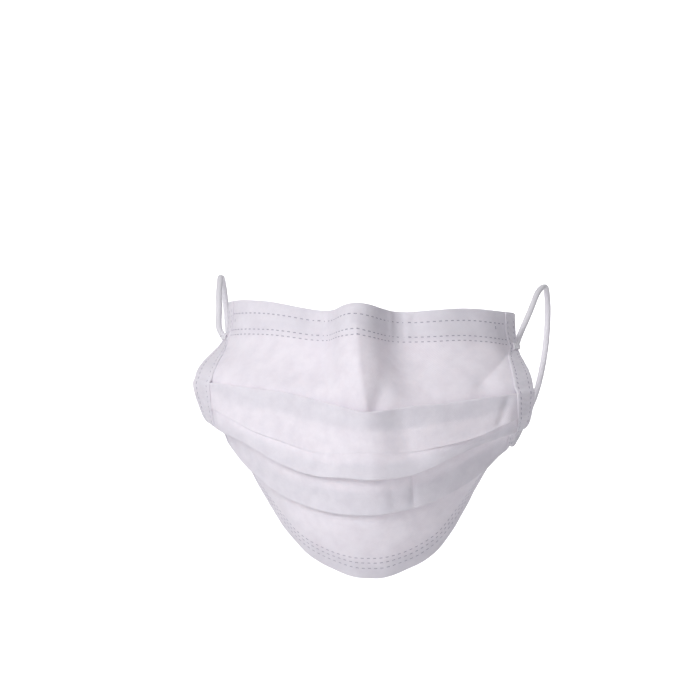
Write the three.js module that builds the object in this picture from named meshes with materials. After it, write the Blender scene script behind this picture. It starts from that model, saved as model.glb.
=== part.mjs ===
// A worn three-fold surgical face mask: one pleated sheet, a nose wire in its top hem, two side
// bindings and two elastic ear loops. Millimetres, +Z up, the wearer looks along -Y, and the origin
// is the middle of the top edge, where the sheet lies on the bridge of the nose.
import * as THREE from 'three';

const WALL = 1.0; // thickness of the laminated sheet and of the binding tape
const LAYER = 1.4; // distance between the middles of two layers that lie on each other
const GAP = 0.3; // clear gap between neighbouring pieces
const HEM_DEPTH = 16; // depth of the top hem
const COLUMNS = 36; // facets across the sheet

// Stations across half of the sheet, as shares of a row's half width, from the middle to the side.
const STATIONS = [0, 0.06, 0.24, 0.47, 0.7, 0.88, 1];

// The lines across the worn mask, from the top edge down. half: half width. lean: how far the
// middle of the line sits towards +X. back: how far behind the bridge each station lies, the same
// on both sides. left and right: the height at each station, from the middle out to that side.
const ROWS = [
  { name: 'top edge', half: 68, lean: 0,
    back: [0, 1, 16, 18.5, 25, 34, 48],
    left: [0, -0.5, -3.5, -1.5, 1, 1.5, 1],
    right: [0, -0.5, -4, -3.5, -2.5, -3.5, -4.5] },
  { name: 'hem line', half: 69, lean: 0.5,
    back: [-7, -6, 10, 14, 21, 31, 46],
    left: [-15.5, -15.5, -17.5, -16, -14.5, -14.5, -15],
    right: [-15.5, -16, -18, -18, -17.5, -18.5, -19.5] },
  { name: 'nose tip', half: 74.5, lean: 3,
    back: [-15, -14, 0, 7, 13, 20, 29],
    left: [-33, -33, -32.5, -30.5, -28, -27, -27],
    right: [-33, -33, -32.5, -32, -31, -31, -31] },
  { name: 'upper fold', half: 77, lean: 5,
    back: [-15, -14.5, -8, -1, 7, 14, 22],
    left: [-50, -49, -46, -42, -39.5, -37.5, -37],
    right: [-50, -50, -48.5, -47, -44.5, -42.5, -41] },
  { name: 'middle crease', half: 75.5, lean: 5,
    back: [-14, -14, -9, -2, 7, 16, 27],
    left: [-69, -69, -69, -63, -57, -50, -48],
    right: [-69, -69, -68.5, -65, -61, -55, -51] },
  { name: 'lower fold', half: 73, lean: 5,
    back: [-12, -12, -8, -1, 8, 18, 31],
    left: [-79, -79, -78.5, -74, -65, -58, -55],
    right: [-79.5, -79.5, -78.5, -72.5, -65, -60, -57] },
  { name: 'chin fold', half: 68, lean: 4,
    back: [-4, -4, -1, 6, 16, 26, 37],
    left: [-96.5, -96.5, -95.5, -91, -81, -68, -59],
    right: [-96.5, -96.5, -95, -91, -82, -71, -62] },
  { name: 'under chin', half: 66, lean: 4,
    back: [5, 5, 7, 13, 23, 32, 41],
    left: [-114, -114, -112, -105, -90, -74, -60],
    right: [-114, -114, -112, -105, -90, -75, -65] },
  { name: 'bottom edge', half: 64, lean: 4,
    back: [16, 16, 18, 23, 31, 38, 44],
    left: [-128, -128, -125.5, -117, -99, -80, -62],
    right: [-128, -128, -125, -117.5, -99, -79, -67] },
];
const ROW = Object.fromEntries(ROWS.map((row, index) => [row.name, index]));

// The path of the sheet down the mask: where it is, in rows, and how far in front of the base it
// lies, in layers. The path turns back on itself at each pleat.
const PLEAT_DEPTH = { upper: 0.4, lower: 0.6, chin: 0.5 }; // hidden depth of a pleat, in rows
const TURN = 0.03; // how far a turn reaches past its fold, in rows

// The hems turned to the back at the top and the bottom edge: how far they reach back up the mask
// and how far a turn reaches past its edge, in rows, and how far behind the base they lie, in layers.
const TOP_HEM = { reach: [1, 0.75, 0.5, 0.25], turn: 0.04, layer: -1.6 };
const BOTTOM_HEM = { reach: 0.6, turn: 0.05, from: -2, layer: -3 };

function hemPath() {
  const front = ROW['top edge'];
  const path = [];
  for (const at of [...TOP_HEM.reach, front]) path.push([at, TOP_HEM.layer]);
  path.push([front - TOP_HEM.turn, TOP_HEM.layer / 2], [front, 0]);
  return path;
}

function steps(from, to, count, layer) {
  const path = [];
  for (let i = 1; i <= count; i++) path.push([from + ((to - from) * i) / count, layer]);
  return path;
}

function turn(at, layer, next, way) {
  return [[at + way * TURN, (layer + next) / 2], [at, next]];
}

function sheetPath() {
  const upper = ROW['upper fold'];
  const lower = ROW['lower fold'];
  const chin = ROW['chin fold'];
  const bottom = ROW['bottom edge'];
  const hidden = PLEAT_DEPTH;
  return [
    ...hemPath(),
    ...steps(0, 1, 4, 0),
    ...steps(1, upper, 6, 0),
    ...steps(upper, upper + hidden.upper, 2, 0),
    ...turn(upper + hidden.upper, 0, 1, 1),
    ...steps(upper + hidden.upper, upper, 2, 1),
    ...turn(upper, 1, 2, -1),
    ...steps(upper, lower, 7, 2),
    ...turn(lower, 2, 1, 1),
    ...steps(lower, lower - hidden.lower, 2, 1),
    ...turn(lower - hidden.lower, 1, 0, -1),
    ...steps(lower - hidden.lower, chin, 6, 0),
    ...turn(chin, 0, -1, 1),
    ...steps(chin, chin - hidden.chin, 2, -1),
    ...turn(chin - hidden.chin, -1, -2, -1),
    ...steps(chin - hidden.chin, bottom, 7, BOTTOM_HEM.from),
    [bottom + BOTTOM_HEM.turn, (BOTTOM_HEM.from + BOTTOM_HEM.layer) / 2],
    [bottom, BOTTOM_HEM.layer],
    ...steps(bottom, bottom - BOTTOM_HEM.reach, 2, BOTTOM_HEM.layer),
  ];
}

// Smooth curve through evenly numbered values: a Catmull-Rom blend, straight at both ends.
function smooth(values, at) {
  const last = values.length - 1;
  const low = Math.min(Math.max(Math.floor(at), 0), last - 1);
  const t = at - low;
  const b = values[low];
  const c = values[low + 1];
  const a = low > 0 ? values[low - 1] : 2 * b - c;
  const d = low < last - 1 ? values[low + 2] : 2 * c - b;
  return b + 0.5 * t * (c - a + t * (2 * a - 5 * b + 4 * c - d + t * (3 * (b - c) + d - a)));
}

// The station number of a share of the half width, by the spacing of STATIONS.
function stationOf(share) {
  let low = 0;
  while (low < STATIONS.length - 2 && share > STATIONS[low + 1]) low += 1;
  return low + (share - STATIONS[low]) / (STATIONS[low + 1] - STATIONS[low]);
}

// A point of one row at a signed share of its half width.
function rowPoint(row, share) {
  const station = stationOf(Math.abs(share));
  const middle = (1 - share * share) ** 2;
  return new THREE.Vector3(
    row.half * share + row.lean * middle,
    smooth(row.back, station),
    smooth(share < 0 ? row.left : row.right, station),
  );
}

// A point of the base surface, at a share across and a place down in rows.
function basePoint(share, down) {
  const points = ROWS.map((row) => rowPoint(row, share));
  const axis = (name) => smooth(points.map((point) => point[name]), down);
  return new THREE.Vector3(axis('x'), axis('y'), axis('z'));
}

// The direction that points out of the mask, away from the face.
function baseOut(share, down) {
  const reach = 0.02;
  const inside = Math.min(Math.max(down, reach), ROWS.length - 1 - reach);
  const side = Math.min(Math.max(share, reach - 1), 1 - reach);
  const across = basePoint(side + reach, inside).sub(basePoint(side - reach, inside));
  const along = basePoint(side, inside + 0.1).sub(basePoint(side, inside - 0.1));
  return along.cross(across).normalize();
}

function sheetPoint(share, down, layer) {
  return basePoint(share, down).addScaledVector(baseOut(share, down), layer * LAYER);
}

// A closed solid from a grid of front points and a grid of back points, rows by columns.
function slab(front, back) {
  const rows = front.length;
  const columns = front[0].length;
  const positions = [];
  for (const grid of [front, back]) {
    for (const line of grid) for (const p of line) positions.push(p.x, p.y, p.z);
  }
  const id = (side, r, c) => side * rows * columns + r * columns + c;
  const index = [];
  const quad = (a, b, c, d) => index.push(a, b, c, a, c, d);
  for (let r = 0; r < rows - 1; r++) {
    for (let c = 0; c < columns - 1; c++) {
      quad(id(0, r, c), id(0, r + 1, c), id(0, r + 1, c + 1), id(0, r, c + 1));
      quad(id(1, r, c), id(1, r, c + 1), id(1, r + 1, c + 1), id(1, r + 1, c));
    }
  }
  for (let c = 0; c < columns - 1; c++) {
    quad(id(0, 0, c), id(0, 0, c + 1), id(1, 0, c + 1), id(1, 0, c));
    quad(id(0, rows - 1, c), id(1, rows - 1, c), id(1, rows - 1, c + 1), id(0, rows - 1, c + 1));
  }
  for (let r = 0; r < rows - 1; r++) {
    quad(id(0, r, 0), id(1, r, 0), id(1, r + 1, 0), id(0, r + 1, 0));
    quad(id(0, r, columns - 1), id(0, r + 1, columns - 1), id(1, r + 1, columns - 1), id(1, r, columns - 1));
  }
  return closedGeometry(positions, index);
}

function closedGeometry(positions, index) {
  const geometry = new THREE.BufferGeometry();
  geometry.setAttribute('position', new THREE.Float32BufferAttribute(positions, 3));
  geometry.setIndex(index);
  geometry.computeVertexNormals();
  return geometry;
}

// A wall of even thickness about a grid of middle points.
function wall(grid, thickness) {
  const rows = grid.length;
  const columns = grid[0].length;
  const heading = (a, b) => b.clone().sub(a).normalize();
  const mean = (list, i, pick) => {
    const sum = new THREE.Vector3();
    if (i > 0) sum.add(heading(pick(i - 1), pick(i)));
    if (i < list - 1) sum.add(heading(pick(i), pick(i + 1)));
    return sum.normalize();
  };
  const offset = (sign) => grid.map((line, r) => line.map((point, c) => {
    const along = mean(rows, r, (k) => grid[k][c]);
    const across = mean(columns, c, (k) => grid[r][k]);
    const out = along.cross(across).normalize();
    return point.clone().addScaledVector(out, (sign * thickness) / 2);
  }));
  return slab(offset(1), offset(-1));
}

function shares(count, reach) {
  return Array.from({ length: count + 1 }, (_, i) => reach * ((2 * i) / count - 1));
}

function maskSheet() {
  const across = shares(COLUMNS, 1);
  return wall(sheetPath().map(([down, layer]) => across.map((share) => sheetPoint(share, down, layer))), WALL);
}

// The flat wire in the hem, bent over the nose with the sheet.
const WIRE = { reach: 0.92, width: 4, thickness: 0.5, down: 0.5, layer: -0.8 };

function noseWire() {
  const across = shares(COLUMNS, 1).filter((share) => Math.abs(share) < WIRE.reach);
  const half = WIRE.width / 2 / HEM_DEPTH;
  const grid = [WIRE.down - half, WIRE.down, WIRE.down + half].map(
    (down) => across.map((share) => sheetPoint(share, down, WIRE.layer)),
  );
  return wall(grid, WIRE.thickness);
}

// The tape folded round each side of the sheet: front wall, edge and back wall, in layers in front
// of the base, by the place down the side.
const TAPE = { width: 8, steps: 30, slack: 0.2, rounding: 0.25 };
const NEAR = 0.95; // share of the half width that the side's direction is measured from
const TAPE_FRONT = [[0, 0.9], [2.5, 0.9], [2.9, 2.9], [5.1, 2.9], [5.6, 1.2], [6.4, 0.4], [8, -0.7]];
const TAPE_BACK = [[0, -2.6], [1.2, -2.5], [2, -1.6], [3, -1], [4.2, -1], [5.3, -3], [6, -3.9], [8, -4.2]];

function lookUp(table, at) {
  let i = 0;
  while (i < table.length - 2 && at > table[i + 1][0]) i += 1;
  const [a, b] = [table[i], table[i + 1]];
  const t = Math.min(Math.max((at - a[0]) / (b[0] - a[0]), 0), 1);
  return a[1] + (b[1] - a[1]) * t;
}

// A point on the tape: inward is the distance in from the sheet's side edge, below zero past it.
function tapePoint(side, inward, down, layer) {
  const edge = basePoint(side, down);
  const near = basePoint(side * NEAR, down);
  const share = 1 - (Math.max(inward, 0) * (1 - NEAR)) / edge.distanceTo(near);
  const past = edge.clone().sub(near).setLength(Math.max(-inward, 0));
  return basePoint(side * share, down).add(past).addScaledVector(baseOut(side * share, down), layer * LAYER);
}

function sideBinding(side) {
  const web = -(GAP + WALL / 2 + TAPE.slack);
  const grid = [];
  for (let i = 0; i <= TAPE.steps; i++) {
    const down = ((ROWS.length - 1) * i) / TAPE.steps;
    const front = lookUp(TAPE_FRONT, down);
    const back = lookUp(TAPE_BACK, down);
    const line = [TAPE.width, TAPE.width / 2, 0].map((inward) => tapePoint(side, inward, down, front));
    for (const layer of [front - TAPE.rounding, (front + back) / 2, back + TAPE.rounding]) {
      line.push(tapePoint(side, web, down, layer));
    }
    for (const inward of [0, TAPE.width / 2, TAPE.width]) line.push(tapePoint(side, inward, down, back));
    if (side < 0) line.reverse();
    grid.push(line);
  }
  return wall(grid, WALL);
}

// Where each elastic loop is welded on the tape: its flattened end lies across the tape and reaches
// past its edge. down is the place along the side and half its half length, both in rows.
const WELD = { layer: 1.2, reach: [4.5, 2, 0, -2.9] };
const UPPER_WELD = { down: 1.05, half: 0.16 };
const LOWER_WELD = { down: 7.35, half: 0.5 };

function weld(side, { down, half }) {
  const layer = lookUp(TAPE_FRONT, down) + WELD.layer;
  const grid = [down - half, down, down + half].map(
    (at) => WELD.reach.map((inward) => tapePoint(side, inward, at, layer)),
  );
  if (side < 0) grid.reverse();
  return wall(grid, WALL);
}

// Each elastic loop leaves a weld at the upper corner, goes round the ear and ends in a weld at the
// lower corner. The points are for the +X side.
const LOOP = { diameter: 3, sides: 8, steps: 60 };
const LOOP_ROUTE = [
  [73.4, 48.8, -19.2], [74.2, 54.5, -15.5], [75.5, 62, -8], [77, 70, 0], [78, 78, 6], [79, 87, 9],
  [79.5, 95, 6.5], [79.5, 101, -1], [79, 104, -11], [78, 103, -22], [76.5, 98, -33], [74.5, 90, -43],
  [72, 79, -51], [70, 67, -57.5], [68.6, 54.5, -62.5], [68.3, 45, -64.5],
];
const LEFT_RISE = 5; // the left corners sit this much higher than the right ones

function loopCurve(side) {
  const rise = side < 0 ? LEFT_RISE : 0;
  return new THREE.CatmullRomCurve3(LOOP_ROUTE.map(([x, y, z]) => new THREE.Vector3(side * x, y, z + rise)));
}

function earLoop(side) {
  const section = new THREE.Shape();
  for (let i = 0; i < LOOP.sides; i++) {
    const angle = (2 * Math.PI * i) / LOOP.sides;
    const [x, y] = [Math.cos(angle) * LOOP.diameter / 2, Math.sin(angle) * LOOP.diameter / 2];
    if (i === 0) section.moveTo(x, y);
    else section.lineTo(x, y);
  }
  return new THREE.ExtrudeGeometry(section, {
    steps: LOOP.steps, extrudePath: loopCurve(side), bevelEnabled: false,
  });
}

// What each piece is made of.
const CLOTH = { color: 0xe9e4ec, roughness: 0.9, metalness: 0 };
const TAPE_CLOTH = { color: 0xe4e2ee, roughness: 0.88, metalness: 0 };
const WIRE_METAL = { color: 0xc9cacf, roughness: 0.45, metalness: 0.8 };
const ELASTIC = { color: 0xeeebf0, roughness: 0.8, metalness: 0 };

const mask = new THREE.Group();

function piece(name, geometry, finish) {
  const mesh = new THREE.Mesh(geometry, new THREE.MeshStandardMaterial(finish));
  mesh.name = name;
  mask.add(mesh);
}

piece('mask_body', maskSheet(), CLOTH);
piece('nose_wire', noseWire(), WIRE_METAL);
piece('side_binding_left', sideBinding(-1), TAPE_CLOTH);
piece('side_binding_right', sideBinding(1), TAPE_CLOTH);
piece('loop_weld_upper_left', weld(-1, UPPER_WELD), ELASTIC);
piece('loop_weld_upper_right', weld(1, UPPER_WELD), ELASTIC);
piece('loop_weld_lower_left', weld(-1, LOWER_WELD), ELASTIC);
piece('loop_weld_lower_right', weld(1, LOWER_WELD), ELASTIC);
piece('ear_loop_left', earLoop(-1), ELASTIC);
piece('ear_loop_right', earLoop(1), ELASTIC);

export default mask;
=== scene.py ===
"""A worn surgical face mask: pleated sheet, nose wire, side bindings, weld dashes and ear loops.

Lengths in the tables are millimetres; every Blender object is in metres, in the frame of the
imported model: the origin is the bridge of the nose, +Z is up and the wearer looks along -Y.
"""
import math
from collections import namedtuple

import bpy
import numpy as np
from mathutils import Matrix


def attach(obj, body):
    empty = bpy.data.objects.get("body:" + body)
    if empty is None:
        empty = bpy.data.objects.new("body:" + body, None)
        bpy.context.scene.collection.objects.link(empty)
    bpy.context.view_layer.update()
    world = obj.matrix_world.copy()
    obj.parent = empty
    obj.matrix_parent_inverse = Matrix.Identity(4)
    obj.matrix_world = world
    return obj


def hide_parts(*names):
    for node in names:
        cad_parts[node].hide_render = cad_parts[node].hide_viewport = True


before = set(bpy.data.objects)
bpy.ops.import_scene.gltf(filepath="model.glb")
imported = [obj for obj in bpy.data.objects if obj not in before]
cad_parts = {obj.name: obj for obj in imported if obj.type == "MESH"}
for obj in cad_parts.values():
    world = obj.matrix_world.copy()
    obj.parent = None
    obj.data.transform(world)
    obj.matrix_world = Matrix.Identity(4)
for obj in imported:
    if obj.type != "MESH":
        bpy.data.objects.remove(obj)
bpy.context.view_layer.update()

bl_info = {
    "name": "Worn Surgical Mask",
    "version": (1, 0, 0),
    "blender": (4, 5, 0),
    "location": "View3D > Sidebar > Mask",
    "description": "Builds a worn three-fold surgical mask with its bindings, welds and loops",
    "category": "Add Mesh",
}

MM = 0.001

# ---------------------------------------------------------------- the form of the worn mask

# Stations across half of the sheet, as shares of a row's half width.
STATIONS = (0, 0.06, 0.24, 0.47, 0.7, 0.88, 1)

# The lines across the mask from the top edge down: half width, how far the middle leans to +X,
# how far behind the bridge each station lies, and the heights out to the left and the right.
Row = namedtuple("Row", "name half lean back left right")
ROWS = (
    Row("top edge", 68, 0, (0, 1, 16, 18.5, 25, 34, 48),
        (0, -0.5, -3.5, -1.5, 1, 1.5, 1), (0, -0.5, -4, -3.5, -2.5, -3.5, -4.5)),
    Row("hem line", 69, 0.5, (-7, -6, 10, 14, 21, 31, 46),
        (-15.5, -15.5, -17.5, -16, -14.5, -14.5, -15),
        (-15.5, -16, -18, -18, -17.5, -18.5, -19.5)),
    Row("nose tip", 74.5, 3, (-15, -14, 0, 7, 13, 20, 29),
        (-33, -33, -32.5, -30.5, -28, -27, -27),
        (-33, -33, -32.5, -32, -31, -31, -31)),
    Row("upper fold", 77, 5, (-15, -14.5, -8, -1, 7, 14, 22),
        (-50, -49, -46, -42, -39.5, -37.5, -37),
        (-50, -50, -48.5, -47, -44.5, -42.5, -41)),
    Row("middle crease", 75.5, 5, (-14, -14, -9, -2, 7, 16, 27),
        (-69, -69, -69, -63, -57, -50, -48),
        (-69, -69, -68.5, -65, -61, -55, -51)),
    Row("lower fold", 73, 5, (-12, -12, -8, -1, 8, 18, 31),
        (-79, -79, -78.5, -74, -65, -58, -55),
        (-79.5, -79.5, -78.5, -72.5, -65, -60, -57)),
    Row("chin fold", 68, 4, (-4, -4, -1, 6, 16, 26, 37),
        (-96.5, -96.5, -95.5, -91, -81, -68, -59),
        (-96.5, -96.5, -95, -91, -82, -71, -62)),
    Row("under chin", 66, 4, (5, 5, 7, 13, 23, 32, 41),
        (-114, -114, -112, -105, -90, -74, -60),
        (-114, -114, -112, -105, -90, -75, -65)),
    Row("bottom edge", 64, 4, (16, 16, 18, 23, 31, 38, 44),
        (-128, -128, -125.5, -117, -99, -80, -62),
        (-128, -128, -125, -117.5, -99, -79, -67)),
)
TOP, HEM, NOSE, UPPER, MIDDLE, LOWER, CHIN, UNDER, BOTTOM = range(len(ROWS))
ROW_PITCH = 16  # mean distance between two rows
HALF_SHEET = 89  # half of the sheet's width

# How deep each pleat is behind its fold, in rows.
HIDDEN = {UPPER: 0.4, LOWER: 0.6, CHIN: 0.5}
TURN = 0.02  # how far a turn reaches past its fold, in rows

# Where the cloth stands off at a fold: the fold, how far, and how far it reaches, in rows.
Lift = namedtuple("Lift", "panel fold way reach middle side shape")
LIFTS = (
    Lift("band", UPPER, 1, 0.6, 1.3, 0.3, 2),
    Lift("strip", LOWER, -1, 1.0, 1.8, 1.4, 2),
    Lift("mouth", CHIN, -1, 0.7, 1.0, 2.4, 2),
)

# Dents, creases and soft folds: the panel, from and to in millimetres across and rows down,
# the width to each side and the height outwards, and whether the crest is sharp.
Crease = namedtuple("Crease", "panel across down to_across to_down width height sharp")
CREASES = (
    Crease("upper", 0.5, 0.9, 1.5, 2.9, 3.2, 1.5, True),
    Crease("upper", 9, 2.65, 5, 3.05, 4.5, -1.3, False),
    Crease("upper", 81, 1.3, 66, 2.3, 5.0, -1.2, True),
    Crease("upper", 66, 2.3, 62, 3.0, 5.5, -0.8, False),
    Crease("band", 75, 3.2, 70, 3.8, 2.5, -0.9, False),
    Crease("band", -21, 3.1, -20, 4.3, 5.0, -0.8, False),
    Crease("band", 16, 3.0, 25, 4.5, 6.0, -1.0, False),
    Crease("band", 1, 3.0, 4, 4.2, 6.0, 0.7, False),
    Crease("mouth", 23.7, 5.1, 23.7, 5.8, 1.6, -1.3, True),
    Crease("mouth", 12, 5.4, 14, 5.7, 3.0, -0.6, False),
    Crease("chin", -31, 6.3, -5, 6.2, 0.9, -0.35, True),
    Crease("chin", -5, 6.2, 16, 6.25, 0.9, -0.35, True),
)


# The nose wire in the top hem: its middle and half width in rows, its reach to each side, and
# where it is bent: across, width and height in millimetres.
WIRE_DOWN = 0.56
WIRE_HALF = 0.14
WIRE_REACH = 75
WIRE_KINKS = ((-27.7, 1.6, 0.5), (-3, 3.0, 0.5), (20.8, 1.5, 0.5), (29.7, 1.6, 0.45))
HEM_END = 0.97


def spline(at, knots, values):
    """A natural cubic curve through values at knots, read at the places in at."""
    knots = np.asarray(knots, float)
    values = np.asarray(values, float)
    count = len(knots)
    gap = np.diff(knots)
    system = np.zeros((count, count))
    system[0, 0] = system[-1, -1] = 1
    pull = np.zeros_like(values)
    for k in range(1, count - 1):
        system[k, k - 1:k + 2] = gap[k - 1], 2 * (gap[k - 1] + gap[k]), gap[k]
        pull[k] = 6 * ((values[k + 1] - values[k]) / gap[k] - (values[k] - values[k - 1]) / gap[k - 1])
    bend = np.linalg.solve(system, pull.reshape(count, -1)).reshape(values.shape)
    at = np.asarray(at, float)
    low = np.clip(np.searchsorted(knots, at, side="right") - 1, 0, count - 2)
    spread = at.shape + (1,) * (values.ndim - 1)
    width = gap[low].reshape(spread)
    b = (at.reshape(spread) - knots[low].reshape(spread)) / width
    a = 1 - b
    curl = (a ** 3 - a) * bend[low] + (b ** 3 - b) * bend[low + 1]
    return a * values[low] + b * values[low + 1] + curl * width * width / 6


def row_line(row, across):
    """Points of one row at even arc lengths: across runs from -1 to 1, with 0 on the nose ridge."""
    outward = np.array(STATIONS)
    share = np.concatenate([-outward[:0:-1], outward])
    points = np.stack([
        row.half * share + row.lean * (1 - share ** 2) ** 2,
        np.concatenate([row.back[:0:-1], row.back]),
        np.concatenate([row.left[:0:-1], row.right]),
    ], 1).astype(float)
    chord = np.concatenate([[0], np.cumsum(np.linalg.norm(np.diff(points, axis=0), axis=1))])
    fine = np.linspace(0, chord[-1], 1500)
    curve = spline(fine, chord, points)
    arc = np.concatenate([[0], np.cumsum(np.linalg.norm(np.diff(curve, axis=0), axis=1))])
    middle = np.interp(chord[len(outward) - 1], fine, arc)
    want = np.where(across < 0, middle * (1 + across), middle + (arc[-1] - middle) * across)
    return np.stack([np.interp(want, arc, curve[:, axis]) for axis in range(3)], 1)


class Form:
    """The base surface of the mask, without its pleats, on a fixed set of columns."""

    def __init__(self, across):
        self.across = np.asarray(across, float)
        self.lines = np.stack([row_line(row, self.across) for row in ROWS])

    def points(self, down):
        return spline(down, np.arange(len(ROWS)), self.lines)

    def outward(self, down):
        reach = 0.06
        inside = np.clip(down, reach, len(ROWS) - 1 - reach)
        along = self.points(inside + reach) - self.points(inside - reach)
        sideways = np.gradient(self.points(inside), axis=1)
        out = np.cross(along, sideways)
        return out / np.linalg.norm(out, axis=2, keepdims=True)


def waves(points, size, seed):
    """A smooth random field of about -1 to 1, from plane waves of about one size."""
    draw = np.random.default_rng(seed)
    total = np.zeros(points.shape[:-1])
    count = 14
    for _ in range(count):
        heading = draw.normal(size=3)
        heading *= 2 * math.pi / (size * draw.uniform(0.7, 1.5)) / np.linalg.norm(heading)
        total += np.sin(points @ heading + draw.uniform(0, 2 * math.pi))
    return total / math.sqrt(count)


# ---------------------------------------------------------------- the path of the sheet

def sheet_path(sizes):
    """Down, layer and panel of each line of the sheet, from the end of the top hem to the bottom one."""
    path = []

    def run(start, end, count, layer, panel, first=False):
        for k in range(0 if first else 1, count + 1):
            path.append((start + (end - start) * k / count, layer, panel))

    def turn(at, layer, following, way, panel):
        for k in range(1, 6):
            angle = math.pi * k / 5
            path.append((at + way * TURN * math.sin(angle),
                         layer + (following - layer) * (1 - math.cos(angle)) / 2, panel))

    upper_end = UPPER + HIDDEN[UPPER]
    lower_start = LOWER - HIDDEN[LOWER]
    chin_start = CHIN - HIDDEN[CHIN]
    run(HEM_END, 0, 14, -2, "hem", first=True)
    turn(TOP, -2, 0, -1, "hem")
    run(TOP, UPPER, 62, 0, "upper")
    run(UPPER, upper_end, 6, 0, "upper")
    turn(upper_end, 0, 1, 1, "hidden")
    run(upper_end, UPPER, 6, 1, "band")
    turn(UPPER, 1, 2, -1, "band")
    run(UPPER, MIDDLE - 0.15, 18, 2, "band")
    run(MIDDLE - 0.15, MIDDLE + 0.15, 22, 2, "band")
    run(MIDDLE + 0.15, LOWER, 18, 2, "band")
    turn(LOWER, 2, 1, 1, "strip")
    run(LOWER, lower_start, 7, 1, "strip")
    turn(lower_start, 1, 0, -1, "hidden")
    run(lower_start, LOWER, 7, 0, "mouth")
    run(LOWER, CHIN, 24, 0, "mouth")
    turn(CHIN, 0, -1, 1, "mouth")
    run(CHIN, chin_start, 5, -1, "mouth")
    turn(chin_start, -1, -2, -1, "hidden")
    run(chin_start, CHIN, 5, -2, "chin")
    run(CHIN, BOTTOM, 44, -2, "chin")
    turn(BOTTOM, -2, -3, 1, "hem")
    run(BOTTOM, BOTTOM - 0.6, 7, -3, "hem")
    return path


def creases_at(panel, across, down):
    """Outward height of the dents and folds of one panel."""
    total = np.zeros(np.broadcast(across, down).shape)
    for crease in CREASES:
        if crease.panel != panel:
            continue
        run = np.array([crease.to_across - crease.across, (crease.to_down - crease.down) * ROW_PITCH])
        length = np.linalg.norm(run)
        x = across - crease.across
        y = (down - crease.down) * ROW_PITCH
        along = (x * run[0] + y * run[1]) / length
        off = np.abs(x * run[1] - y * run[0]) / length
        beyond = np.maximum(np.maximum(-along, along - length), 0)
        fade = np.exp(-(beyond / (crease.width * 1.4)) ** 2)
        shape = np.exp(-off / crease.width) if crease.sharp else np.exp(-(off / crease.width) ** 2)
        total += crease.height * fade * shape
    return total


# The middle crease: a shallow step down in the band, deepest toward the sides, with a thin crest.
STEP_DEPTH = 1.1
STEP_RISE = 2.6  # rows above the crease over which the cloth comes forward to it


def step_at(across, down):
    """Height of the middle crease: the cloth comes slowly forward down to it and drops back."""
    share = np.abs(across) / HALF_SHEET
    depth = STEP_DEPTH * np.clip((share - 0.12) / 0.4, 0.16, 1) * np.clip((1 - share) / 0.16, 0, 1)
    line = MIDDLE - 0.06 * np.cos(across / 14)
    before = np.clip(1 + (down - line) / 0.75, 0, 1) ** STEP_RISE
    after = np.clip(1 - (down - line) / 0.045, 0, 1)
    return depth * np.where(down < line, before, after)


def lifts_at(panel, across, down):
    """How far the cloth of a panel stands off at its folds."""
    total = np.zeros(np.broadcast(across, down).shape)
    wanted = {"band": ("band", "strip"), "strip": ("strip",), "mouth": ("mouth",)}.get(panel, ())
    for lift in LIFTS:
        if lift.panel not in wanted:
            continue
        near = np.clip(1 - (down - lift.fold) * lift.way / lift.reach, 0, 1)
        share = np.abs(across) / HALF_SHEET
        edge = np.clip((1 - share) / 0.1, 0, 1)
        height = lift.middle + (lift.side - lift.middle) * np.clip(share / 0.75, 0, 1) ** 2
        total += height * edge * near ** lift.shape
    return total


# Panels that cover the hidden parts of a pleat: the panel, where it starts and ends, its layer.
COVERS = (("band", UPPER, LOWER, 2), ("mouth", CHIN - HIDDEN[CHIN] - TURN, CHIN, 0))


def cloth_lines(form, path, spacing):
    """Points of the sheet's middle surface, in millimetres, for lines of down, layer and panel."""
    down = np.array([line[0] for line in path])
    layer = np.array([line[1] for line in path])
    points = form.points(down)
    out = form.outward(down)
    across = form.across * HALF_SHEET
    offset = np.repeat(layer[:, None] * spacing, len(across), 1)
    for k, (place, _, panel) in enumerate(path):
        offset[k] += creases_at(panel, across, place) + lifts_at(panel, across, place)
        if panel == "band":
            offset[k] += step_at(across, place)
        if place < HEM_END:
            offset[k] += wire_relief(across, place)
        for cover, start, end, top in COVERS:
            if start < place < end and layer[k] < top:
                over = top * spacing + creases_at(cover, across, place) + lifts_at(cover, across, place)
                if cover == "band":
                    over = over + step_at(across, place)
                offset[k] = np.minimum(offset[k], over - (top - layer[k]) * spacing * 0.8)
    soft = waves(points, 34, 5) * 0.35 + waves(points, 13, 8) * 0.10
    offset += soft * np.clip((1 - np.abs(form.across)) / 0.12, 0, 1)
    return points + out * offset[..., None], out


def wire_relief(across, down):
    """The nose wire shows through the hem as a low flat ridge, with a kink at each bend."""
    ridge = 0.22 * np.clip((WIRE_HALF - np.abs(down - WIRE_DOWN)) / 0.06 + 0.5, 0, 1)
    ridge = ridge * np.clip((WIRE_REACH - np.abs(across)) / 1.5, 0, 1)
    hem = np.clip(down / 0.1, 0, 1) * np.clip((HEM_END - down) / 0.15, 0, 1)
    for place, width, height in WIRE_KINKS:
        ridge = ridge + height * hem * np.exp(-((across - place) / width) ** 2)
    return ridge


def sheet_points(sizes, columns):
    """The middle surface of the pleated sheet, and its flat coordinates, in millimetres."""
    form = Form(np.linspace(-1, 1, columns + 1))
    points, _ = cloth_lines(form, sheet_path(sizes), sizes.layer / MM)
    steps = np.linalg.norm(np.diff(points, axis=0), axis=2)
    length = np.concatenate([np.zeros((1, columns + 1)), np.cumsum(steps, axis=0)])
    return points, np.broadcast_to(form.across * HALF_SHEET, length.shape), length


# ---------------------------------------------------------------- mesh helpers

def deselect():
    bpy.ops.object.select_all(action="DESELECT")


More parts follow.
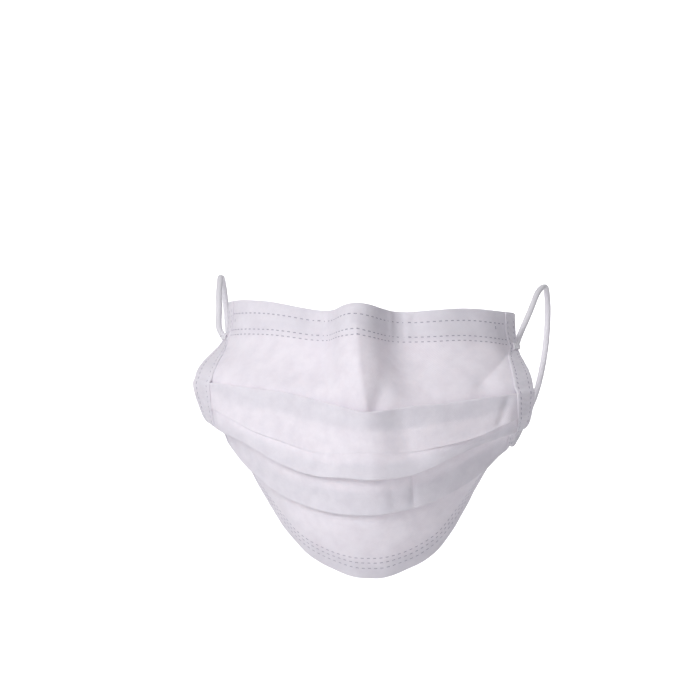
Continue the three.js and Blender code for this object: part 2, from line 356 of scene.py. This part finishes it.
def grid_piece(name, points, flat=None):
    """A grid primitive whose points are moved to an array of rows by columns, in millimetres."""
    rows, columns = points.shape[:2]
    deselect()
    bpy.ops.mesh.primitive_grid_add(x_subdivisions=columns - 1, y_subdivisions=rows - 1, size=1)
    piece = bpy.context.object
    piece.name = piece.data.name = name
    mesh = piece.data
    start = np.empty(len(mesh.vertices) * 3)
    mesh.vertices.foreach_get("co", start)
    start = start.reshape(-1, 3)
    column = np.rint((start[:, 0] + 0.5) * (columns - 1)).astype(int)
    row = np.rint((0.5 - start[:, 1]) * (rows - 1)).astype(int)
    mesh.vertices.foreach_set("co", (points[row, column] * MM).ravel())
    if flat is not None:
        corner = np.empty(len(mesh.loops), int)
        mesh.loops.foreach_get("vertex_index", corner)
        uv = np.stack([flat[0][row, column], flat[1][row, column]], 1) * MM
        layer = mesh.uv_layers.active or mesh.uv_layers.new(name="UVMap")
        layer.name = "cloth"
        layer.data.foreach_set("uv", uv[corner].ravel())
    mesh.update()
    return piece


def thicken(piece, thickness, rim=True):
    solid = piece.modifiers.new("wall", "SOLIDIFY")
    solid.thickness = thickness
    solid.offset = 0
    solid.use_rim = rim
    solid.use_even_offset = False
    select_only(piece)
    bpy.ops.object.modifier_apply(modifier=solid.name)


def select_only(piece):
    deselect()
    piece.select_set(True)
    bpy.context.view_layer.objects.active = piece


def smooth_shade(piece):
    select_only(piece)
    bpy.ops.object.shade_smooth()


def finish(piece, material, slot, *nodes):
    piece.data.materials.clear()
    piece.data.materials.append(material)
    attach(piece, "root")
    if nodes:
        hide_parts(*nodes)


# ---------------------------------------------------------------- materials

def node_group(name, inputs, outputs):
    group = bpy.data.node_groups.new(name, "ShaderNodeTree")
    for label, kind, default in inputs:
        socket = group.interface.new_socket(name=label, in_out="INPUT", socket_type=kind)
        if default is not None:
            socket.default_value = default
    for label, kind in outputs:
        group.interface.new_socket(name=label, in_out="OUTPUT", socket_type=kind)
    return group, group.nodes.new("NodeGroupInput"), group.nodes.new("NodeGroupOutput")


def add_math(group, operation, first, second=None):
    node = group.nodes.new("ShaderNodeMath")
    node.operation = operation
    for socket, value in zip(node.inputs, (first, second)):
        if value is None:
            continue
        if hasattr(value, "is_linked"):
            group.links.new(value, socket)
        else:
            socket.default_value = value
    return node.outputs[0]


def nonwoven_group():
    """Bond points, fibres and cloudy thickness of a spun cloth, on flat coordinates in metres."""
    name = "Nonwoven"
    if name in bpy.data.node_groups:
        return bpy.data.node_groups[name]
    group, entry, leave = node_group(name, [
        ("Flat", "NodeSocketVector", None),
        ("Place", "NodeSocketVector", None),
        ("Bond Pitch", "NodeSocketFloat", 0.0009),
    ], [("Clouds", "NodeSocketFloat"), ("Height", "NodeSocketFloat")])
    link = group.links.new
    scale = group.nodes.new("ShaderNodeVectorMath")
    scale.operation = "SCALE"
    link(entry.outputs["Flat"], scale.inputs[0])
    link(add_math(group, "DIVIDE", 1.0, entry.outputs["Bond Pitch"]), scale.inputs["Scale"])
    turned = group.nodes.new("ShaderNodeMapping")
    turned.inputs["Rotation"].default_value = (0, 0, math.radians(45))
    link(scale.outputs[0], turned.inputs["Vector"])
    bonds = group.nodes.new("ShaderNodeTexVoronoi")
    bonds.voronoi_dimensions = "2D"
    bonds.inputs["Scale"].default_value = 1
    bonds.inputs["Randomness"].default_value = 0
    link(turned.outputs[0], bonds.inputs["Vector"])
    pressed = group.nodes.new("ShaderNodeMapRange")
    pressed.interpolation_type = "SMOOTHSTEP"
    pressed.inputs["From Min"].default_value = 0.16
    pressed.inputs["From Max"].default_value = 0.36
    link(bonds.outputs["Distance"], pressed.inputs["Value"])
    stretched = group.nodes.new("ShaderNodeMapping")
    stretched.inputs["Scale"].default_value = (900, 3600, 1)
    link(entry.outputs["Flat"], stretched.inputs["Vector"])
    fibres = group.nodes.new("ShaderNodeTexNoise")
    fibres.inputs["Scale"].default_value = 1
    fibres.inputs["Detail"].default_value = 5
    fibres.inputs["Distortion"].default_value = 1.4
    link(stretched.outputs[0], fibres.inputs["Vector"])
    broad = group.nodes.new("ShaderNodeTexNoise")
    broad.inputs["Scale"].default_value = 130
    broad.inputs["Detail"].default_value = 5
    broad.inputs["Roughness"].default_value = 0.62
    link(entry.outputs["Place"], broad.inputs["Vector"])
    link(broad.outputs["Fac"], leave.inputs["Clouds"])
    dots = add_math(group, "MULTIPLY", pressed.outputs[0], 0.6)
    fuzz = add_math(group, "MULTIPLY", fibres.outputs["Fac"], 0.5)
    link(add_math(group, "ADD", dots, fuzz), leave.inputs["Height"])
    return group


def material(name, colour, roughness, sheen=0.0, subsurface=0.0):
    made = bpy.data.materials.new(name)
    made.use_nodes = True
    made.diffuse_color = (*colour, 1)
    shader = made.node_tree.nodes["Principled BSDF"]
    shader.inputs["Base Color"].default_value = (*colour, 1)
    shader.inputs["Roughness"].default_value = roughness
    shader.inputs["Sheen Weight"].default_value = sheen
    shader.inputs["Sheen Roughness"].default_value = 0.5
    shader.inputs["Subsurface Weight"].default_value = subsurface
    shader.inputs["Subsurface Radius"].default_value = (1.0, 0.8, 0.75)
    shader.inputs["Subsurface Scale"].default_value = 0.002
    return made, shader


def cloth_material(name, light, dark, bump, pitch):
    """A matt non-woven cloth between two colours, with its bond points and fibres."""
    made, shader = material(name, light, 0.85, sheen=0.15, subsurface=0.25)
    tree = made.node_tree
    flat = tree.nodes.new("ShaderNodeUVMap")
    flat.uv_map = "cloth"
    place = tree.nodes.new("ShaderNodeTexCoord")
    grain = tree.nodes.new("ShaderNodeGroup")
    grain.node_tree = nonwoven_group()
    grain.inputs["Bond Pitch"].default_value = pitch
    tree.links.new(flat.outputs[0], grain.inputs["Flat"])
    tree.links.new(place.outputs["Object"], grain.inputs["Place"])
    ramp = tree.nodes.new("ShaderNodeValToRGB")
    ramp.color_ramp.elements[0].position = 0.34
    ramp.color_ramp.elements[0].color = (*dark, 1)
    ramp.color_ramp.elements[1].position = 0.62
    ramp.color_ramp.elements[1].color = (*light, 1)
    tree.links.new(grain.outputs["Clouds"], ramp.inputs[0])
    tree.links.new(ramp.outputs[0], shader.inputs["Base Color"])
    relief = tree.nodes.new("ShaderNodeBump")
    relief.inputs["Strength"].default_value = bump
    relief.inputs["Distance"].default_value = 0.0001
    tree.links.new(grain.outputs["Height"], relief.inputs["Height"])
    tree.links.new(relief.outputs[0], shader.inputs["Normal"])
    return made


# ---------------------------------------------------------------- settings

class MaskSizes(bpy.types.PropertyGroup):
    wall: bpy.props.FloatProperty(
        name="Cloth thickness", description="Thickness of the laminated sheet",
        default=0.00042, unit="LENGTH")
    layer: bpy.props.FloatProperty(
        name="Layer spacing", description="Distance between the middles of two pressed layers",
        default=0.0006, unit="LENGTH")
    columns: bpy.props.IntProperty(
        name="Columns", description="Faces across the sheet", default=190)
    dash_length: bpy.props.FloatProperty(
        name="Weld dash length", description="Length of one pressed weld dash",
        default=0.0015, unit="LENGTH")
    dash_width: bpy.props.FloatProperty(
        name="Weld dash width", description="Width of one pressed weld dash",
        default=0.00055, unit="LENGTH")
    dash_pitch: bpy.props.FloatProperty(
        name="Weld dash pitch", description="Distance from one weld dash to the next",
        default=0.0029, unit="LENGTH")
    loop_width: bpy.props.FloatProperty(
        name="Ear loop width", description="Width of the elastic loop",
        default=0.003, unit="LENGTH")


class MaskColours(bpy.types.PropertyGroup):
    cloth: bpy.props.FloatVectorProperty(
        name="Cloth", description="Colour of the cloth", subtype="COLOR",
        size=3, default=(0.92, 0.865, 0.935))
    cloth_shade: bpy.props.FloatVectorProperty(
        name="Cloth shade", description="Colour of the cloth where it is thinner", subtype="COLOR",
        size=3, default=(0.85, 0.795, 0.868))
    # The weld colour is partly the pressed film's own grey and partly painted shade of the dents the dashes
    # are pressed into.
    weld: bpy.props.FloatVectorProperty(
        name="Weld", description="Colour of the pressed weld dashes", subtype="COLOR",
        size=3, default=(0.42, 0.37, 0.47))
    elastic: bpy.props.FloatVectorProperty(
        name="Elastic", description="Colour of the ear loops", subtype="COLOR",
        size=3, default=(0.86, 0.84, 0.88))
    floor: bpy.props.FloatVectorProperty(
        name="Floor", description="Colour of the floor", subtype="COLOR",
        size=3, default=(0.86, 0.86, 0.87))


# ---------------------------------------------------------------- pieces

FLOOR_HEIGHT = -0.62


class MASK_OT_stage(bpy.types.Operator):
    """Set the camera, the soft lights and the pale floor"""
    bl_idname = "mask.stage"
    bl_label = "Stage"

    azimuth = math.radians(8)
    distance = 1.6
    aim = (-0.0032, -0.0216)  # sideways and upwards from the bridge of the nose
    field = 0.322  # width of the view at the bridge

    def execute(self, context):
        colours = context.scene.mask_colours
        right = np.array([math.cos(self.azimuth), math.sin(self.azimuth), 0])
        ahead = np.array([-math.sin(self.azimuth), math.cos(self.azimuth), 0])
        place = right * self.aim[0] + np.array([0, 0, self.aim[1]]) - ahead * self.distance
        bpy.ops.object.camera_add(location=place, rotation=(math.pi / 2, 0, self.azimuth))
        camera = context.object
        camera.name = "camera"
        camera.data.sensor_width = 36
        camera.data.lens = 36 * self.distance / self.field
        context.scene.camera = camera
        self.floor(colours)
        self.lights(context)
        return {"FINISHED"}

    def floor(self, colours):
        made, _ = material("floor", tuple(colours.floor), 0.9)
        back = math.pi / 2
        for name, place, tilt in (("floor", (0, 0, FLOOR_HEIGHT), 0), ("backdrop", (0, 3.2, 0), back)):
            bpy.ops.mesh.primitive_plane_add(size=14, location=place, rotation=(tilt, 0, 0))
            screen = bpy.context.object
            screen.name = name
            screen.data.materials.append(made)

    def lights(self, context):
        aim = np.array([0, 0, -0.06])
        for name, place, size, power in (
            ("key", (-1.0, -1.4, 0.75), 0.8, 18.8),
            ("fill", (0.6, -1.6, 0.3), 1.2, 3.0),
            ("top", (0.1, 0.3, 1.6), 1.2, 2),
            ("backdrop_light", (0, 2.0, 1.4), 1.0, 70),
        ):
            bpy.ops.object.light_add(type="AREA", location=place)
            lamp = context.object
            lamp.name = name
            lamp.data.size = size
            lamp.data.energy = power
            target = (0, 3.2, -0.1) if name == "backdrop_light" else aim
            heading = np.array(target) - np.array(place)
            lamp.rotation_euler = (
                math.atan2(math.hypot(heading[0], heading[1]), -heading[2]), 0,
                math.atan2(-heading[0], heading[1]))
        world = bpy.data.worlds.new("studio")
        context.scene.world = world
        world.use_nodes = True
        back = world.node_tree.nodes["Background"]
        back.inputs["Color"].default_value = (0.96, 0.96, 1.0, 1)
        back.inputs["Strength"].default_value = 0.33
        context.scene.view_settings.view_transform = "Standard"


# The middle of the right ear loop, from the upper weld round the ear to the lower weld.
LOOP_ROUTE = (
    (73.4, 48.8, -19.2), (74.2, 54.5, -15.5), (75.5, 62, -8), (77, 70, 0), (78, 78, 6), (79, 87, 9),
    (79.5, 95, 6.5), (79.5, 101, -1), (79, 104, -11), (78, 103, -22), (76.5, 98, -33), (74.5, 90, -43),
    (72, 79, -51), (70, 67, -57.5), (68.6, 54.5, -62.5), (68.3, 45, -64.5),
)
# The cord's ends run on into the flattened welds.
LOOP_START = (71.0, 47.2, -19.9)
LOOP_END = (67.4, 43.4, -66.0)
RIGHT_START = (2.0, 4.4, 3.2, 2.1, 1.3)  # the right cord's first points lie this much further in
LEFT_RISE = 5  # the left corners sit this much higher than the right ones
SIDES = {"left": -1, "right": 1}


def loop_line(side):
    rise = LEFT_RISE if side < 0 else 0
    ends = LOOP_START, *LOOP_ROUTE[1:-1], LOOP_END
    route = np.array([(side * x, y, z + rise) for x, y, z in ends], float)
    if side > 0:
        route[:len(RIGHT_START), 0] -= RIGHT_START
    chord = np.concatenate([[0], np.cumsum(np.linalg.norm(np.diff(route, axis=0), axis=1))])
    return spline(np.linspace(0, chord[-1], 150), chord, route)


class MASK_OT_ear_loops(bpy.types.Operator):
    """Make the two elastic ear loops"""
    bl_idname = "mask.ear_loops"
    bl_label = "Ear loops"

    sides = 14

    def execute(self, context):
        made, shader = material("knit_elastic", tuple(context.scene.mask_colours.elastic), 0.8, sheen=0.3)
        self.knit(made, shader)
        width = context.scene.mask_sizes.loop_width
        for name, side in SIDES.items():
            line = loop_line(side)
            piece = self.tube("elastic_loop_" + name, line, width / MM)
            finish(piece, made, "elastic", "ear_loop_" + name)
        return {"FINISHED"}

    def tube(self, name, line, width):
        """A slightly flat tube; its flat coordinates run along and round it."""
        ahead = np.gradient(line, axis=0)
        ahead /= np.linalg.norm(ahead, axis=1, keepdims=True)
        sideways = np.cross(ahead, (1.0, 0.0, 0.0))
        sideways /= np.linalg.norm(sideways, axis=1, keepdims=True)
        depth = np.cross(ahead, sideways)
        angle = np.linspace(0, 2 * math.pi, self.sides + 1)
        ring = (np.cos(angle)[None, :, None] * depth[:, None] * width / 2
                + np.sin(angle)[None, :, None] * sideways[:, None] * width * 0.4)
        points = line[:, None] + ring
        length = np.concatenate([[0], np.cumsum(np.linalg.norm(np.diff(line, axis=0), axis=1))])
        flat = (np.broadcast_to(angle * width / 2, points.shape[:2]),
                np.broadcast_to(length[:, None], points.shape[:2]))
        piece = grid_piece(name, points, flat)
        select_only(piece)
        bpy.ops.object.mode_set(mode="EDIT")
        bpy.ops.mesh.select_all(action="SELECT")
        bpy.ops.mesh.remove_doubles(threshold=1e-6)
        bpy.ops.mesh.select_all(action="DESELECT")
        bpy.ops.mesh.select_non_manifold()
        bpy.ops.mesh.edge_face_add()
        bpy.ops.mesh.select_all(action="SELECT")
        bpy.ops.mesh.normals_make_consistent(inside=False)
        bpy.ops.object.mode_set(mode="OBJECT")
        smooth_shade(piece)
        return piece

    def knit(self, made, shader):
        """Fine knitted ribs round the elastic."""
        tree = made.node_tree
        flat = tree.nodes.new("ShaderNodeUVMap")
        flat.uv_map = "cloth"
        ribs = tree.nodes.new("ShaderNodeTexWave")
        ribs.bands_direction = "DIAGONAL"
        ribs.inputs["Scale"].default_value = 330
        ribs.inputs["Distortion"].default_value = 1.2
        ribs.inputs["Detail"].default_value = 2
        tree.links.new(flat.outputs[0], ribs.inputs["Vector"])
        relief = tree.nodes.new("ShaderNodeBump")
        relief.inputs["Strength"].default_value = 0.6
        relief.inputs["Distance"].default_value = 0.0002
        tree.links.new(ribs.outputs["Fac"], relief.inputs["Height"])
        tree.links.new(relief.outputs[0], shader.inputs["Normal"])


class MASK_OT_sheet(bpy.types.Operator):
    """Make the pleated sheet with its folded hems"""
    bl_idname = "mask.sheet"
    bl_label = "Pleated sheet"

    def execute(self, context):
        sizes = context.scene.mask_sizes
        points, across, length = sheet_points(sizes, sizes.columns)
        piece = grid_piece("pleated_sheet", points, (across, length))
        thicken(piece, sizes.wall)
        smooth_shade(piece)
        finish(piece, cloth(context), "nonwoven", "mask_body")
        return {"FINISHED"}


def cloth(context):
    colours = context.scene.mask_colours
    if "spun_cloth" in bpy.data.materials:
        return bpy.data.materials["spun_cloth"]
    return cloth_material("spun_cloth", tuple(colours.cloth), tuple(colours.cloth_shade), 0.35, 0.0009)


# Which panel the tape lies on, by the place down where it ends, and that panel's pressed layer.
TAPE_PANELS = ((2.93, "upper", 0), (5.03, "band", 2), (6.05, "mouth", 0), (8.1, "chin", -2))
# Back of the layers inside the binding, in pressed layers, by the place down.
TAPE_BACK = ((0, -2), (0.9, -2), (1.2, 0), (3, 0), (5, 0), (5.6, -2), (7.3, -2), (7.6, -3), (8, -3))
TAPE_WIDTH = 8.5
TAPE_PAST = {-1: 3.9, 1: 2.3}  # how far the tape's fold lies past the sheet's edge, by side
TAPE_THICKNESS = 0.3
TAPE_CLEAR = 0.42  # from the middle of the outer layer to the middle of the tape
PINCH = 3.4  # how much narrower the tape is drawn where a loop is welded on
UPPER_WELD = 1.05
LOWER_WELD = 7.35


def table(pairs, at):
    return np.interp(at, [pair[0] for pair in pairs], [pair[1] for pair in pairs])


def eased(values, reach):
    """Values along the first axis, each the mean of its neighbours up to reach away."""
    padded = np.concatenate([values[:1]] * reach + [values] + [values[-1:]] * reach)
    total = sum(padded[k:k + len(values)] for k in range(2 * reach + 1))
    return total / (2 * reach + 1)


class Tape:
    """The binding of one side as a surface: inward is millimetres in from the sheet's edge."""

    lines = 320

    def __init__(self, side, spacing):
        self.inward = np.linspace(TAPE_WIDTH, 0, 9)
        form = Form(side * (1 - self.inward / HALF_SHEET))
        down = np.linspace(0, BOTTOM, self.lines)
        path = []
        for place in down:
            _, panel, layer = next(entry for entry in TAPE_PANELS if place <= entry[0])
            path.append((place, layer, panel))
        base = form.points(down)
        sheet, out = cloth_lines(form, path, spacing)
        height = ((sheet - base) * out).sum(axis=2)
        out = out * side
        over = np.maximum(height, eased(height, 5))
        front = eased(over, 3) + TAPE_CLEAR
        back = table(TAPE_BACK, down) * spacing - TAPE_CLEAR
        keep = 1 - PINCH / TAPE_WIDTH * np.exp(-((down - UPPER_WELD) / 0.3) ** 2)
        self.side = side
        self.down = down
        self.out = out
        self.section = self.rounded(base, out, front, back, keep)

    def rounded(self, base, out, front, back, keep):
        """Points from the front inner edge round the fold to the back inner edge."""
        past = base[:, -1] - base[:, -2]
        past /= np.linalg.norm(past, axis=1, keepdims=True)
        edge = base[:, -1:]
        reach = (TAPE_PAST[self.side] * keep * np.clip(self.down / 2, 0, 1))[:, None, None]
        share = 1 - self.inward[None, :, None] / TAPE_WIDTH
        drawn = edge + (base - edge) * keep[:, None, None] + past[:, None] * reach * share
        crimp = 0.12 * np.sin(np.arange(len(base)) * 0.8)[:, None] * np.sin(self.inward * 1.1)[None]
        face = drawn + out * (front + crimp)[..., None]
        rear = drawn + out * back[:, None, None]
        angle = np.linspace(0, math.pi, 7)[1:-1]
        middle = (front[:, -1:] + back[:, None]) / 2
        half = (front[:, -1:] - back[:, None]) / 2
        bend = (drawn[:, -1:] + past[:, None] * (0.6 * np.sin(angle))[None, :, None]
                + out[:, -1:] * (middle + half * np.cos(angle)[None])[..., None])
        return np.concatenate([face, bend, rear[:, ::-1]], 1)

    def at(self, down, column):
        """The tape's front at places down and at a column of it, with the outward direction."""
        low = min(int(column), len(self.inward) - 2)
        share = column - low
        read = lambda values: np.stack(
            [np.interp(down, self.down, values[:, axis]) for axis in range(3)], 1)
        line = self.section[:, low] * (1 - share) + self.section[:, low + 1] * share
        return read(line), read(self.section[:, low]), read(self.out[:, low])


class MASK_OT_bindings(bpy.types.Operator):
    """Make the tape folded round each side"""
    bl_idname = "mask.bindings"
    bl_label = "Side bindings"

    def execute(self, context):
        sizes = context.scene.mask_sizes
        for name, side in SIDES.items():
            points = Tape(side, sizes.layer / MM).section
            if side < 0:
                points = points[:, ::-1]
            steps = np.linalg.norm(np.diff(points, axis=1), axis=2)
            width = np.concatenate([np.zeros((len(points), 1)), np.cumsum(steps, axis=1)], 1)
            length = np.concatenate([[0], np.cumsum(np.linalg.norm(np.diff(points[:, 0], axis=0), axis=1))])
            piece = grid_piece("binding_tape_" + name, points,
                               (width, np.broadcast_to(length[:, None], width.shape)))
            thicken(piece, TAPE_THICKNESS * MM)
            smooth_shade(piece)
            finish(piece, tape_cloth(context), "binding", "side_binding_" + name)
        return {"FINISHED"}


def tape_cloth(context):
    colours = context.scene.mask_colours
    if "spun_tape" in bpy.data.materials:
        return bpy.data.materials["spun_tape"]
    return cloth_material("spun_tape", tuple(colours.cloth), tuple(colours.cloth_shade), 0.5, 0.0007)


def dash_shape(sizes):
    """One pressed dash as points and faces: a low bar with cut corners, in millimetres."""
    deselect()
    bpy.ops.mesh.primitive_cube_add(size=1)
    dash = bpy.context.object
    bpy.ops.object.mode_set(mode="EDIT")
    bpy.ops.transform.resize(value=(sizes.dash_length / MM, sizes.dash_width / MM, 0.12))
    bpy.ops.mesh.bevel(offset=0.1, segments=1)
    bpy.ops.object.mode_set(mode="OBJECT")
    points = np.array([tuple(vertex.co) for vertex in dash.data.vertices])
    faces = [tuple(face.vertices) for face in dash.data.polygons]
    bpy.data.objects.remove(dash)
    return points, faces


def scatter(name, shape, places):
    """One joined mesh of a shape put at each place: a centre, along, up and out."""
    points, faces = shape
    vertices = []
    polygons = []
    for centre, along, up, out in places:
        first = len(vertices)
        turned = centre + points[:, :1] * along + points[:, 1:2] * up + points[:, 2:] * out
        vertices.extend(turned * MM)
        polygons.extend(tuple(first + corner for corner in face) for face in faces)
    mesh = bpy.data.meshes.new(name)
    mesh.from_pydata([tuple(vertex) for vertex in vertices], [], polygons)
    piece = bpy.data.objects.new(name, mesh)
    bpy.context.scene.collection.objects.link(piece)
    return piece


def places_along(line, upper, out, pitch, start, lift):
    """Places at an even pitch along a line; upper is the same line a little higher up."""
    arc = np.concatenate([[0], np.cumsum(np.linalg.norm(np.diff(line, axis=0), axis=1))])
    count = int((arc[-1] - 2 * start) / pitch)
    spare = (arc[-1] - 2 * start - count * pitch) / 2
    at = start + spare + pitch * np.arange(count + 1)
    read = lambda values: np.stack([np.interp(at, arc, values[:, axis]) for axis in range(3)], 1)
    centre, higher, normal = read(line), read(upper), read(out)
    ahead = read(np.gradient(line, axis=0))
    unit = lambda values: values / np.linalg.norm(values, axis=1, keepdims=True)
    ahead = unit(ahead)
    normal = unit(np.cross(ahead, unit(higher - centre)))
    normal *= np.sign((normal * read(out)).sum(axis=1, keepdims=True))
    rise = np.cross(normal, ahead)
    return [(c + n * lift, a, r, n) for c, a, r, n in zip(centre, ahead, rise, normal)]


# Rows of pressed dashes across the sheet: the place down, the panel, its layer and the layer of
# the hem or the sheet behind it.
DASH_ROWS = {"top": ((0.35, "upper", 0, -2), (0.83, "upper", 0, -2), (0.985, "upper", 0, 0)),
             "bottom": ((7.30, "chin", -2, -2), (7.46, "chin", -2, -3), (7.64, "chin", -2, -3))}
CORNER_MARKS = ((-77, 0.55), (73, 0.5))  # across in millimetres and down in rows
DASH_SINK = 0.02  # how far a dash stands out of the cloth's face
TAPE_DASH_COLUMNS = (1.6, 6.3)  # across the tape, from 0 at its inner edge to 8 at its fold
TAPE_DASH_PITCH = 2.6


class MASK_OT_welds(bpy.types.Operator):
    """Make the rows of pressed weld dashes"""
    bl_idname = "mask.welds"
    bl_label = "Weld dashes"

    def execute(self, context):
        sizes = context.scene.mask_sizes
        shape = dash_shape(sizes)
        # The dashes stand nearly flush with the cloth, so their dark colour is partly the welds' own greyer
        # film and partly painted shade of their pressed-in recesses.
        weld, _ = material("pressed_weld_and_shade", tuple(context.scene.mask_colours.weld), 0.45)
        lift = sizes.wall / MM / 2 - 0.06 + DASH_SINK
        form = Form(np.linspace(-1, 1, 500) * 0.93)
        for name, rows in DASH_ROWS.items():
            places = []
            for down, panel, front, rear in rows:
                for layer, way in ((front, 1), (rear, -1)):
                    lines, out = cloth_lines(form, [(down, layer, panel), (down - 0.03, layer, panel)],
                                             sizes.layer / MM)
                    places += places_along(lines[0], lines[1], out[0], sizes.dash_pitch / MM, 1.0, way * lift)
            if name == "top":
                places += self.marks(sizes, lift)
            piece = scatter("weld_dashes_" + name, shape, places)
            finish(piece, weld, "weld")
        for name, side in SIDES.items():
            self.tape_row(name, side, shape, weld, sizes)
        return {"FINISHED"}

    def marks(self, sizes, lift):
        """One upright mark near each top corner."""
        places = []
        for across, down in CORNER_MARKS:
            form = Form(np.array([across - 1, across, across + 1]) / HALF_SHEET)
            lines, out = cloth_lines(form, [(down, 0, "upper"), (down - 0.05, 0, "upper")],
                                     sizes.layer / MM)
            normal = out[0, 1]
            upright = lines[1, 1] - lines[0, 1]
            upright /= np.linalg.norm(upright)
            places.append((lines[0, 1] + normal * lift, upright, np.cross(normal, upright), normal))
        return places

    def tape_row(self, name, side, shape, weld, sizes):
        tape = Tape(side, sizes.layer / MM)
        down = np.linspace(0.15, BOTTOM - 0.2, 300)
        small = (shape[0] * (0.8, 0.85, 1), shape[1])
        places = []
        lift = TAPE_THICKNESS / 2 - 0.06 + DASH_SINK
        for column in TAPE_DASH_COLUMNS:
            line, beside, out = tape.at(down, column)
            places += places_along(line, beside, out, TAPE_DASH_PITCH, 1.0, lift)
        piece = scatter("tape_dashes_" + name, small, places)
        finish(piece, weld, "weld")


class MASK_OT_nose_wire(bpy.types.Operator):
    """Make the flat wire inside the top hem"""
    bl_idname = "mask.nose_wire"
    bl_label = "Nose wire"

    def execute(self, context):
        spacing = context.scene.mask_sizes.layer / MM
        form = Form(np.linspace(-1, 1, 240) * WIRE_REACH / HALF_SHEET)
        path = [(WIRE_DOWN + WIRE_HALF * step, 0, "upper") for step in (-0.9, -0.5, 0, 0.5, 0.9)]
        lines, out = cloth_lines(form, path, spacing)
        piece = grid_piece("flat_nose_wire", lines - out * spacing)
        thicken(piece, 0.4 * MM)
        smooth_shade(piece)
        coat, shader = material("flat_wire", (0.72, 0.72, 0.74), 0.4)
        shader.inputs["Metallic"].default_value = 0.7
        finish(piece, coat, "wire", "nose_wire")
        return {"FINISHED"}


class MASK_OT_loop_ends(bpy.types.Operator):
    """Make the flattened ends of the loops, welded on the bindings"""
    bl_idname = "mask.loop_ends"
    bl_label = "Loop ends"

    def execute(self, context):
        spacing = context.scene.mask_sizes.layer / MM
        for name, side in SIDES.items():
            for place, down, half in (("upper", UPPER_WELD, 0.13), ("lower", LOWER_WELD, 0.4)):
                piece = self.pad("loop_end_%s_%s" % (place, name), side, spacing, down, half)
                finish(piece, bpy.data.materials["knit_elastic"], "elastic",
                       "loop_weld_%s_%s" % (place, name))
        return {"FINISHED"}

    def pad(self, name, side, spacing, down, half):
        tape = Tape(side, spacing)
        lines = np.linspace(down - half, down + half, 9)
        strips = [tape.at(lines, column) for column in (3, 4, 5, 6, 7, 8)]
        face = np.stack([strip[0] for strip in strips], 1)
        out = strips[2][2][:, None]
        past = face[:, -1:] - face[:, -2:-1]
        past /= np.linalg.norm(past, axis=2, keepdims=True)
        beyond = face[:, -1:] + past * np.array([0.3, 0.6, 0.9])[None, :, None]
        points = np.concatenate([face, beyond], 1)
        middle = points.mean(axis=0, keepdims=True)
        bulge = (1 - np.linspace(-1, 1, 9) ** 2)[:, None, None]
        points = points + out * (0.35 + 0.5 * bulge)
        points = points + (middle - points) * 0.15 * (1 - bulge)
        if side < 0:
            points = points[:, ::-1]
        flat = (np.linalg.norm(points - points[:, :1], axis=2), np.linalg.norm(points - points[:1], axis=2))
        piece = grid_piece(name, points, flat)
        thicken(piece, 0.7 * MM)
        smooth_shade(piece)
        return piece


class MASK_PT_panel(bpy.types.Panel):
    """Sizes, colours and pieces of the worn mask"""
    bl_idname = "MASK_PT_panel"
    bl_label = "Worn mask"
    bl_space_type = "VIEW_3D"
    bl_region_type = "UI"
    bl_category = "Mask"

    def draw(self, context):
        layout = self.layout
        for group in (context.scene.mask_sizes, context.scene.mask_colours):
            for name in group.__annotations__:
                layout.prop(group, name)
        for operator in OPERATORS:
            layout.operator(operator.bl_idname)


OPERATORS = (MASK_OT_stage, MASK_OT_ear_loops, MASK_OT_sheet, MASK_OT_nose_wire,
             MASK_OT_bindings, MASK_OT_welds, MASK_OT_loop_ends)
CLASSES = (MaskSizes, MaskColours, *OPERATORS, MASK_PT_panel)


def register():
    for made in CLASSES:
        bpy.utils.register_class(made)
    bpy.types.Scene.mask_sizes = bpy.props.PointerProperty(type=MaskSizes)
    bpy.types.Scene.mask_colours = bpy.props.PointerProperty(type=MaskColours)


def unregister():
    del bpy.types.Scene.mask_colours
    del bpy.types.Scene.mask_sizes
    for made in reversed(CLASSES):
        bpy.utils.unregister_class(made)


def main():
    register()
    for operator in OPERATORS:
        group, name = operator.bl_idname.split(".")
        getattr(getattr(bpy.ops, group), name)()


if __name__ == "__main__":
    main()
